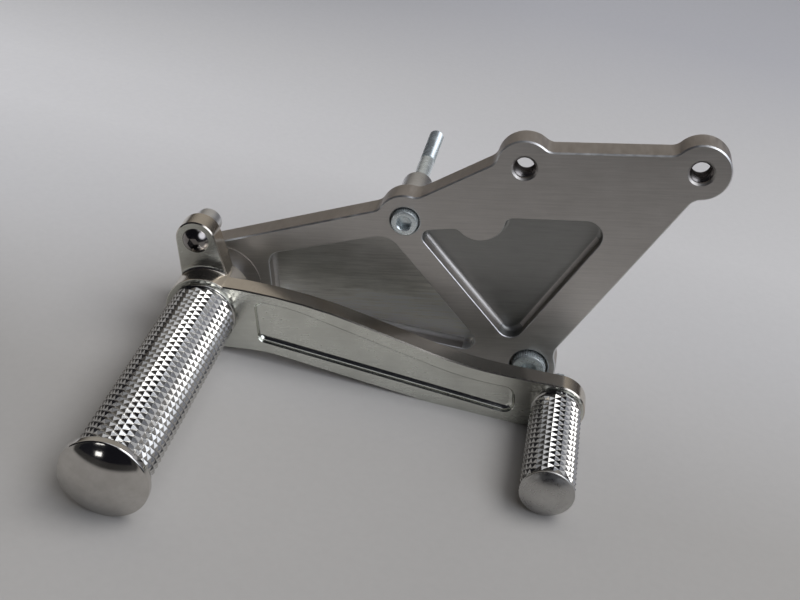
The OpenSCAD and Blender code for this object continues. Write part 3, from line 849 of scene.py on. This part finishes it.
def on_seat(spot):
    """Whether a point lies on the raised seat round the pivot."""
    return hypot(spot.x, spot.z) < SEAT_R + 0.1


def behind_web(spot):
    """Whether a point lies on the pivot's side of the web between the pockets."""
    return (Vector((spot.x, spot.z)) - WEB_TOP).dot(unit(WEB_RUN - 90)) > 0


def in_pocket(spot):
    """Whether a point of the plate's surface is sunk below its front face."""
    on_wall = 0.3 < spot.y < POCKET_DEPTH + 0.1 and near(spot, POCKET_SEAM, 3.0)
    return on_wall or abs(spot.y - POCKET_DEPTH) < 0.05


def in_recess(spot):
    """Whether a point lies on the walls of the recess in the arm."""
    return 0.05 < spot.y - ARM_FRONT < RECESS_DEPTH - 0.05 and near(spot, RECESS_SEAM, 2.6)


def facing_slots(obj, rules):
    """Gives each face the first slot whose rule holds for its normal and middle in millimetres."""
    for face in obj.data.polygons:
        spot = face.center / MM
        face.material_index = next((slot for slot, rule in rules if rule(face.normal, spot)), 0)


def sunk_rings(face_y, depth, radius, steps=6):
    """Rings of a pocket cutter: a broken edge, a straight wall and a filleted floor."""
    straight = face_y + depth - radius
    rings = [(-1 - BROKEN, face_y - 1), (0, face_y + BROKEN), (0, straight)]
    for i in range(1, steps + 1):
        a = radians(90 * i / steps)
        rings.append((radius * (1 - cos(a)), straight + radius * sin(a)))
    return rings


def build_plate():
    """The mounting plate with its pockets, bosses and holes."""
    plate = slab("Mounting_plate", plate_arcs(), 0, PLATE_T, sizes().plate_bevel / MM)
    combine(plate, [rod("seat", PIVOT, SEAT_R, -SEAT_H, 2)], "UNION")
    rings = sunk_rings(0, POCKET_DEPTH, sizes().pocket_fillet / MM)
    cutters = [loft("rear", rear_pocket_arcs(), rings), loft("front", front_pocket_arcs(), rings)]
    cutters.append(rod("spigot", PIVOT, SPIGOT_R, -2, PLATE_T + 1))
    for centre, wide, sink, bore in ((UPPER, 5.5, 4, 3.3), (LOWER, 7.4, 5, 4.3)):
        cutters.append(turned("sink", centre, [
            (wide + 1.3, -1), (wide, 0.3), (wide, sink), (bore, sink), (bore, PLATE_T - 0.4),
            (bore + 1.4, PLATE_T + 1)]))
    wall = TAP_R + 0.65
    for centre in (TAP_A, TAP_B):
        cutters.append(turned("tap", centre, [
            (wall + 1.7, -1), (wall, 0.7), (wall, PLATE_T - 0.15), (wall + 1.15, PLATE_T + 1)]))
    combine(plate, cutters, "DIFFERENCE")
    weld(plate)
    facing_slots(plate, [
        (1, lambda normal, spot: abs(normal.y) < 0.3 and not in_pocket(spot)),
        (4, lambda normal, spot: abs(normal.y) < 0.8 and not FRONT_RIM <= spot.y <= BACK_RIM and not on_seat(spot)),
        (3, lambda normal, spot: in_pocket(spot) and behind_web(spot)),
        (2, lambda normal, spot: in_pocket(spot)),
    ])
    return smooth(plate)


def build_lever():
    """The pedal: arm in front, ear behind, hub through both."""
    edge = sizes().pedal_edge / MM
    eased, lip = edge * 0.3, 1.4
    lever = slab("Pedal_lever", arm_arcs(), ARM_FRONT, EAR_FRONT, edge)
    ear = slab("ear", ear_arcs(), EAR_FRONT, EAR_BACK, edge)
    hub = turned("hub", PIVOT, [
        (HUB_R - edge, ARM_FRONT + 0.02), (HUB_R - eased, ARM_FRONT + eased), (HUB_R, ARM_FRONT + edge),
        (HUB_R, EAR_BACK - edge), (HUB_R - eased, EAR_BACK - eased), (HUB_R - edge, EAR_BACK)], 120)
    turns = [radians(15 * i) for i in range(7)]
    curve = [(HUB_R + lip * (1 - cos(a)), EAR_FRONT - lip * (1 - sin(a))) for a in turns]
    inside, outside = (HUB_R - 1, EAR_FRONT + 1), (HUB_R + lip, EAR_FRONT + 1)
    fillet = lathe("fillet", PIVOT, [inside, *curve, outside], 120, closed=True)
    combine(fillet, [loft("keep", ear_arcs(), [(edge, EAR_FRONT - 3), (edge, EAR_FRONT + 2)])], "INTERSECT")
    combine(lever, [hub, ear, fillet], "UNION")
    front, back = ARM_FRONT + SHOULDER_T, EAR_BACK - SHOULDER_T
    combine(lever, [
        loft("recess", recess_arcs(), sunk_rings(ARM_FRONT, RECESS_DEPTH, RECESS_FILLET)),
        turned("bore", PIVOT, [
            (SHOULDER_R, ARM_FRONT - 1), (SHOULDER_R, front), (BUSH_R, front),
            (BUSH_R, back), (SHOULDER_R, back), (SHOULDER_R, EAR_BACK + 1)]),
        rod("toe", TOE, SMALL_BORE_R, ARM_FRONT - 1, EAR_FRONT + 1, 48),
        rod("hole", EAR, SMALL_BORE_R, EAR_FRONT - 1, EAR_BACK + 1, 48),
    ], "DIFFERENCE")
    weld(lever)
    facing_slots(lever, [
        (2, lambda normal, spot: in_recess(spot)),
        (1, lambda normal, spot: abs(normal.y) < 0.8),
    ])
    return smooth(lever)


def dome(radius, height, rim, ease=0.0, steps=14):
    """A shallow dome from its crown to its rim, which can be eased."""
    flat = radius - ease
    big = (flat * flat + height * height) / (2 * height)
    span = asin(flat / big)
    turns = [span * i / steps for i in range(steps + 1)]
    profile = [(big * sin(a), rim - height + big - big * cos(a)) for a in turns]
    if ease:
        profile += [(flat + ease * sin(a), rim + ease * (1 - cos(a))) for a in EASE_TURNS[1:]]
    return profile


def peg(name, centre, profile, count, bore, bright, foot, grip, pitch, columns_round):
    """A bar with its bore and its bright end, and the knurl that stands on its grip."""
    bar = lathe(name, centre, profile, count)
    combine(bar, [bore], "DIFFERENCE")
    facing_slots(bar, [(1, lambda normal, spot: spot.y < bright)])
    start, end = grip
    rows = int((end - start) / pitch - 0.5)
    slack = end - start - (rows + 0.5) * pitch
    skin = once(knurl_tree).run(name + "_knurl", {
        "Axis X": centre[0] * MM, "Axis Z": centre[1] * MM, "Foot Radius": foot * MM,
        "Height": float(sizes().knurl_depth), "Start": (start + slack / 2) * MM, "Pitch": pitch * MM,
        "Rows": rows, "Columns": columns_round, "Crown": sizes().knurl_crown, "Material": made("Bright knurl"),
    })
    return smooth(bar), skin


def build_foot_peg():
    """The foot peg: bar with a knurled grip, flange and domed end."""
    tip, base = span_of("foot_peg")
    crest, flange_r, flange_t, height, ease = 12.7, 14.7, 3.0, 4.0, 0.7
    foot = crest - sizes().knurl_depth / MM
    rim = tip + height
    back = rim + flange_t
    start, end = back + 0.5, base - 0.9
    profile = dome(flange_r, height, rim, ease)
    profile += [(flange_r - ease * (1 - cos(a)), back - ease + ease * sin(a)) for a in EASE_TURNS]
    profile += [(foot + 0.7, back), (foot, start), (foot, end), (crest - 0.3, end + 0.2),
                (crest - 0.2, base - 0.4), (crest - 0.5, base), (0, base)]
    bore = rod("bore", PIVOT, 4.04, -48, base + 1, 64)
    return peg("Foot_peg", PIVOT, profile, 128, bore, back + 0.3, foot, (start, end),
               sizes().knurl_pitch / MM, sizes().knurl_columns)


def build_toe_peg():
    """The toe peg: a smaller knurled bar with a domed end."""
    tip, base = span_of("toe_peg")
    crest, height, ease = 9.4, 2.5, 0.4
    foot = crest - sizes().knurl_depth / MM
    rim = tip + height
    profile = dome(crest, height, rim, ease)
    profile += [(crest, rim + 0.9), (foot, rim + 1.4), (foot, base - 1.0), (crest - 0.2, base - 0.8),
                (crest - 0.2, base - 0.3), (crest - 0.5, base), (0, base)]
    bore = rod("bore", TOE, 3.04, base - 15.5, base + 1, 48)
    return peg("Toe_peg", TOE, profile, 112, bore, rim + 1.0, foot, (rim + 1.2, base - 0.9),
               sizes().toe_knurl_pitch / MM, sizes().toe_knurl_columns)


def ridged(name, centre, crest, depth, start, step, rows, sides, lead, by_row, metal_name):
    """A thread or a ridged rim, in millimetres."""
    return once(ridge_tree).run(name, {
        "Axis X": centre[0] * MM, "Axis Z": centre[1] * MM, "Crest Radius": crest * MM, "Depth": depth * MM,
        "Start": start * MM, "Row Step": step * MM, "Rows": rows, "Sides": sides, "Lead": lead * MM,
        "By Row": by_row, "Material": made(metal_name),
    })


def thread(centre, crest, depth, start, room, pitch, sides, metal_name):
    """Turns of a real thread from start, as many as there is room for."""
    rows = int((room - pitch) / (pitch / 2))
    return ridged("thread", centre, crest, depth, start, pitch / 2, rows, sides, pitch, 1.0, metal_name)


def cap_screw(node, name, shank, head, socket, pitch, cut, back):
    """A socket cap screw with a ridged rim and a real thread."""
    y0, y1 = span_of(node)
    centre, s = axis_of(node), -1 if back else 1
    top, tip = (y1, y0) if back else (y0, y1)
    seat, cut_from = top + s * 2 * shank, tip - s * cut
    depth = 0.6 * pitch
    core, side, ridge = shank - depth, head - 0.18, 0.2
    screw = turned(name, centre, [
        (head - 0.9, top), (head - 0.35, top + s * 0.2), (side, top + s * 0.75), (side, seat - s * 0.7),
        (head - 0.35, seat), (shank, seat), (shank, cut_from - s * 0.3), (core, cut_from + s * 0.2),
        (core, tip - s * 1.0), (core * 0.8, tip - s * 0.2), (core * 0.55, tip)], 80)
    mouth = socket / sqrt(3)
    combine(screw, [
        hex_prism("hex", centre, socket, *sorted((top - s, top + s * shank))),
        turned("mouth", centre, [(mouth + 1.1, top - s), (mouth - 0.45, top + s * 0.55)], 48),
    ], "DIFFERENCE")
    smooth(dress(screw, "Zinc plate"))
    low, high = sorted((top + s * 0.85, seat - s * 0.8))
    rim = ridged("rim", centre, head, ridge, low, (high - low) / 4, 4, 88, 0.0, 0.0, "Zinc plate")
    begin, end = sorted((cut_from, tip - s * 0.9))
    return join(screw, [rim, thread(centre, shank, depth, begin, end - begin, pitch, 40, "Zinc plate")])


def tapped_thread(centre):
    """The thread inside one of the plate's tapped holes."""
    # Its dark colour is painted shade inside the hole.
    turns = thread(centre, TAP_R + 0.64, 0.62, 0.75, PLATE_T - 1.0, 1.25, 48, "Cut thread, painted shade")
    turns.data.flip_normals()
    return turns


def button_screw():
    """The dark button-head screw in the ear."""
    y0, y1 = span_of("ear_screw")
    head_r, under = radius_of("ear_screw"), y0 + 3.3
    profile = dome(head_r, 3.3, under) + [(head_r - 0.1, under), (3, under), (3, y1 - 0.7), (2.3, y1), (0, y1)]
    screw = lathe("Ear_screw", EAR, profile)
    combine(screw, [hex_prism("hex", EAR, 4, y0 - 1, y0 + 2)], "DIFFERENCE")
    # Its dark colour is a painted reflection.
    return smooth(dress(screw, "Dark screw, painted reflection"))


def tube(node, name, bore, metal_name, ease=0.4, neck=0.0):
    """A tube with broken edges: spacers, collar and washers."""
    y0, y1 = span_of(node)
    r, half, third = radius_of(node), ease * 0.5, ease * 0.3
    front = [(r - ease, y0), (r - third, y0 + third), (r, y0 + ease)]
    if neck:
        front = [(r - neck, y0), (r - neck, y0 + neck), (r, y0 + neck)]
    profile = [(bore, y0 + half), (bore + half, y0), *front, (r, y1 - ease), (r - third, y1 - third),
               (r - ease, y1), (bore + half, y1), (bore, y1 - half)]
    return smooth(dress(lathe(name, axis_of(node), profile, closed=True), metal_name))


# ---- operators


class REARSET_OT_plate(bpy.types.Operator):
    """Build the mounting plate and the threads in its tapped holes"""

    bl_idname = "rearset.plate"
    bl_label = "Mounting plate"

    def execute(self, context):
        names = ("Brushed plate", "Milled edge", "Milled pocket", "Milled rear pocket, painted light", "Bright chamfer")
        plate = dress(build_plate(), *names)
        join(plate, [tapped_thread(TAP_A), tapped_thread(TAP_B)])
        fit(plate, "mount_plate")
        return {"FINISHED"}


class REARSET_OT_pedal(bpy.types.Operator):
    """Build the pedal lever, its ear screw and collar"""

    bl_idname = "rearset.pedal"
    bl_label = "Pedal"

    def execute(self, context):
        lever = dress(build_lever(), "Polished pedal", "Pedal edge", "Pedal recess")
        fit(lever, "pedal_lever")
        fit(button_screw(), "ear_screw")
        fit(tube("ear_collar", "Ear_collar", 3.04, "Turned alloy", neck=0.7), "ear_collar")
        return {"FINISHED"}


class REARSET_OT_pegs(bpy.types.Operator):
    """Build the foot peg and the toe peg with their knurled grips"""

    bl_idname = "rearset.pegs"
    bl_label = "Pegs"

    def execute(self, context):
        for build, node, end, slot_name in (
            (build_foot_peg, "foot_peg", "Mirror end", "peg"), (build_toe_peg, "toe_peg", "Satin end", "toe")
        ):
            bar, skin = build()
            fit(dress(bar, "Bright knurl", end), node)
            fit(skin, node)
        return {"FINISHED"}


class REARSET_OT_screws(bpy.types.Operator):
    """Build the screws, spacers and washers"""

    bl_idname = "rearset.screws"
    bl_label = "Screws and spacers"

    def execute(self, context):
        for node, name, shank, head, socket, pitch, thread, back in (
            ("upper_screw", "Upper_screw", 3.0, 5.0, 5.0, 1.0, 27.0, False),
            ("lower_screw", "Lower_screw", 4.0, 6.5, 6.0, 1.25, 30.0, False),
            ("peg_bolt", "Peg_bolt", 4.0, 6.5, 6.0, 1.25, 24.0, True),
            ("toe_screw", "Toe_screw", 3.0, 5.0, 5.0, 1.0, 16.0, True),
        ):
            fit(cap_screw(node, name, shank, head, socket, pitch, thread, back), node)
        for node, name, bore in (("upper_spacer", "Upper_spacer", 3.3), ("lower_spacer", "Lower_spacer", 4.3)):
            fit(tube(node, name, bore, "Turned alloy"), node)
        for node, name, bore in (("peg_washer", "Peg_washer", 4.3), ("toe_washer", "Toe_washer", 3.3)):
            fit(tube(node, name, bore, "Zinc plate", ease=0.25), node)
        return {"FINISHED"}


class REARSET_OT_inner(bpy.types.Operator):
    """Give the sleeve, bushes and lock washers their metals"""

    bl_idname = "rearset.inner"
    bl_label = "Pivot parts"

    def execute(self, context):
        for metal_name, nodes in (
            ("Turned steel", ("pivot_post", "thrust_washer", "peg_lock_washer", "toe_lock_washer")),
            ("Bearing bronze", ("bush_front", "bush_rear")),
        ):
            for node in nodes:
                for place in frame["nodes"][node].material_slots:
                    place.material = made(metal_name)
        return {"FINISHED"}


class REARSET_OT_stage(bpy.types.Operator):
    """Build the floor, the light and the camera"""

    bl_idname = "rearset.stage"
    bl_label = "Stage"

    def execute(self, context):
        build_floor()
        build_world()
        build_lamps()
        build_camera()
        return {"FINISHED"}


# ---- stage

FLOOR_FALL_X, FLOOR_FALL_Y, FLOOR_Z = -0.2229, -0.0062, -15.6
FLOOR_REACH = 2500.0
FLOOR_WARM, FLOOR_PLAIN, FLOOR_COOL = (1.0, 0.97, 0.93), (1.0, 0.99, 0.99), (0.98, 0.98, 1.03)
# Painted light and shade on the floor from the front to the back: place, level and tone. Only what it reflects in
# the metal sees its painted dark front; the camera sees it no nearer than FLOOR_SEEN.
FLOOR_FRONT, FLOOR_BACK, FLOOR_SEEN = -0.3, 0.9, 0.09
FLOOR_SHADE_STOPS = (
    (0.03, 0.08, FLOOR_WARM), (0.075, 0.68, FLOOR_WARM), (0.20, 0.71, FLOOR_WARM), (0.30, 0.88, FLOOR_PLAIN),
    (0.37, 1.0, FLOOR_PLAIN), (0.48, 0.93, FLOOR_PLAIN), (0.64, 0.78, FLOOR_COOL), (1.0, 0.65, FLOOR_COOL),
)
SHADOW_PLACE, SHADOW_REACH, SHADOW_LEVEL = (-0.12, -0.09, 0.0), 0.14, 0.76
# The room: low and high, the dark front, then each pale part's direction, edge, middle and colour.
ROOM_LOW, ROOM_HIGH, ROOM_FRONT = (0.05, 0.042, 0.035, 1), (0.42, 0.395, 0.36, 1), (0.012, 0.012, 0.016, 1)
ROOM_PARTS = (
    ((0.9, 0.3, 0.35), 0.75, 0.97, (0.40, 0.42, 0.48, 1)),
    ((0.73, -0.45, 0.45), 0.86, 0.97, (2.0, 2.1, 2.3, 1)),
    ((0.35, 0.15, 0.92), 0.88, 0.97, (0.85, 0.87, 0.92, 1)),
)
BACKDROP = (0.38, 0.38, 0.40, 1)
LAMP_TARGET = Vector((90, -20, 0))
LAMPS = (("Key", (1130, 170, 1080), 900, 850, 8.0), ("Front window", (-175, -690, 125), 90, 55, 0.035))
CAMERA_PLACE = Vector((148.2, -375.0, 224.4))
CAMERA_RIGHT = Vector((0.98321, 0.17565, -0.04948))
CAMERA_UP = Vector((-0.04860, 0.51339, 0.85678))
CAMERA_LENS, CAMERA_SENSOR = 52.94, 36.0


def build_floor():
    """A floor that touches the pegs and the plate from below, seen only from above, with painted light, shade and a
    painted shadow in its colour.
    """
    corners = [(i * FLOOR_REACH, j * FLOOR_REACH) for i, j in ((-1, -1), (1, -1), (1, 1), (-1, 1))]
    points = [(x, y, FLOOR_Z + FLOOR_FALL_X * x + FLOOR_FALL_Y * y) for x, y in corners]
    floor = from_points("Floor", points, [(0, 1, 2, 3)])
    if floor.data.polygons[0].normal.z < 0:
        floor.data.flip_normals()
    material, w, shader = new_material("Pale floor")
    shader.inputs["Roughness"].default_value = 0.75
    shader.inputs["Specular IOR Level"].default_value = 0.05
    place = w.node("ShaderNodeTexCoord").outputs["Object"]
    noise = w.node("ShaderNodeTexNoise", {"Vector": place, "Scale": 350.0, "Detail": 3.0}).outputs[0]
    along_x, along_y, _ = w.parts(place)
    seen = w.math("MULTIPLY", w.node("ShaderNodeLightPath").outputs["Is Camera Ray"], FLOOR_SEEN)
    # Painted light and shade: the floor's level and tone change from the front to the back.
    shade_ramp = w.node("ShaderNodeValToRGB", {0: w.math("MAXIMUM", w.mapped(along_y, FLOOR_FRONT, FLOOR_BACK), seen)})
    for i, (position, level, tone) in enumerate(FLOOR_SHADE_STOPS):
        stops = shade_ramp.color_ramp.elements
        stop = stops[i] if i < 2 else stops.new(position)
        stop.position = position
        stop.color = (*(level * part for part in tone), 1)
    # Painted light and shade at the floor's left, lighter in front and darker far back, over the floor's own fine
    # tone.
    left = w.math("MULTIPLY", w.mapped(along_x, -0.2, 0.1, 1.0, 0.0), w.mapped(along_y, 0.2, 0.42, 0.28, -0.22))
    grain = w.math("MULTIPLY", w.mapped(noise, 0, 1, 0.97, 1.03), w.math("ADD", left, 1.0))
    away = w.over("DISTANCE", {0: place, 1: SHADOW_PLACE}, "Value")
    dim = w.math("MULTIPLY", grain, w.mapped(away, 0.0, SHADOW_REACH, SHADOW_LEVEL, 1.0, "SMOOTHSTEP"))
    tint = w.over("SCALE", {0: shade_ramp.outputs[0], "Scale": dim})
    w.plug(w.over("MULTIPLY", {0: tint, 1: tuple(finish().floor)}), shader.inputs["Base Color"])
    under = w.node("ShaderNodeNewGeometry").outputs["Backfacing"]
    clear = w.node("ShaderNodeBsdfTransparent").outputs[0]
    mix = w.node("ShaderNodeMixShader", {0: under, 1: shader.outputs[0], 2: clear})
    w.plug(mix.outputs[0], material.node_tree.nodes["Material Output"].inputs["Surface"])
    paint(floor, material)


def build_world():
    """A dim room with a bright ceiling and a pale side at the right, and a plain pale backdrop."""
    world = bpy.data.worlds.new("Studio")
    bpy.context.scene.world = world
    world.use_nodes = True
    w = Wires(world.node_tree)
    way = w.node("ShaderNodeTexCoord").outputs["Generated"]

    def towards(direction, start, full):
        """0 to 1 as a ray comes nearer to a direction."""
        nearness = w.over("DOT_PRODUCT", {0: way, 1: Vector(direction).normalized()}, "Value")
        return w.mapped(nearness, start, full, kind="SMOOTHSTEP")

    shade = w.blend(towards((0, 0, 1), 0.12, 0.6), ROOM_LOW, ROOM_HIGH)
    shade = w.blend(towards((0, 1, 0), -0.1, 0.45), ROOM_FRONT, shade)
    for direction, start, full, tint in ROOM_PARTS:
        shade = w.blend(towards(direction, start, full), shade, tint)
    room = world.node_tree.nodes["Background"]
    w.plug(shade, room.inputs["Color"])
    backdrop = w.node("ShaderNodeBackground", {"Color": BACKDROP}).outputs[0]
    seen = w.node("ShaderNodeLightPath").outputs["Is Camera Ray"]
    mix = w.node("ShaderNodeMixShader", {0: seen, 1: room.outputs[0], 2: backdrop})
    w.plug(mix.outputs[0], world.node_tree.nodes["World Output"].inputs["Surface"])


def build_lamps():
    """A wide soft box high at the right and a small window in front."""
    for name, place, wide, high, power in LAMPS:
        lamp = bpy.data.lights.new(name, "AREA")
        lamp.shape = "RECTANGLE"
        lamp.size, lamp.size_y = wide * MM, high * MM
        lamp.energy = power
        obj = make_object(name, lamp)
        obj.location = Vector(place) * MM
        obj.rotation_euler = (LAMP_TARGET - Vector(place)).to_track_quat("-Z", "Y").to_euler()


def build_camera():
    """The photograph's viewpoint."""
    lens = bpy.data.cameras.new("Camera")
    lens.lens, lens.sensor_width = CAMERA_LENS, CAMERA_SENSOR
    lens.clip_start, lens.clip_end = 0.01, 20.0
    camera = make_object("Camera", lens)
    right, up = CAMERA_RIGHT.normalized(), CAMERA_UP.normalized()
    back = right.cross(up)
    turn = Matrix((right, up, back)).transposed().to_4x4()
    camera.matrix_world = Matrix.Translation(CAMERA_PLACE * MM) @ turn
    bpy.context.scene.camera = camera
    bpy.context.scene.view_settings.view_transform = "Standard"


STEPS = ("plate", "pedal", "pegs", "screws", "inner", "stage")


class REARSET_PT_panel(bpy.types.Panel):
    """Lists the pieces and their sizes and colours"""

    bl_idname = "REARSET_PT_panel"
    bl_label = "Rear-set"
    bl_space_type = "VIEW_3D"
    bl_region_type = "UI"
    bl_category = "Rear-set"

    def draw(self, context):
        for step in STEPS:
            self.layout.operator(f"rearset.{step}")
        for group in (sizes(), finish()):
            box = self.layout.box()
            for key in group.bl_rna.properties.keys():
                if key not in ("rna_type", "name"):
                    box.prop(group, key)


CLASSES = (
    RearSetSizes, RearSetFinish, REARSET_OT_plate, REARSET_OT_pedal, REARSET_OT_pegs,
    REARSET_OT_screws, REARSET_OT_inner, REARSET_OT_stage, REARSET_PT_panel,
)


def register():
    for item in CLASSES:
        bpy.utils.register_class(item)
    bpy.types.Scene.rear_set_sizes = bpy.props.PointerProperty(type=RearSetSizes)
    bpy.types.Scene.rear_set_finish = bpy.props.PointerProperty(type=RearSetFinish)


def unregister():
    del bpy.types.Scene.rear_set_finish
    del bpy.types.Scene.rear_set_sizes
    for item in reversed(CLASSES):
        bpy.utils.unregister_class(item)


def main():
    register()
    for step in STEPS:
        getattr(bpy.ops.rearset, step)()


if __name__ == "__main__":
    main()
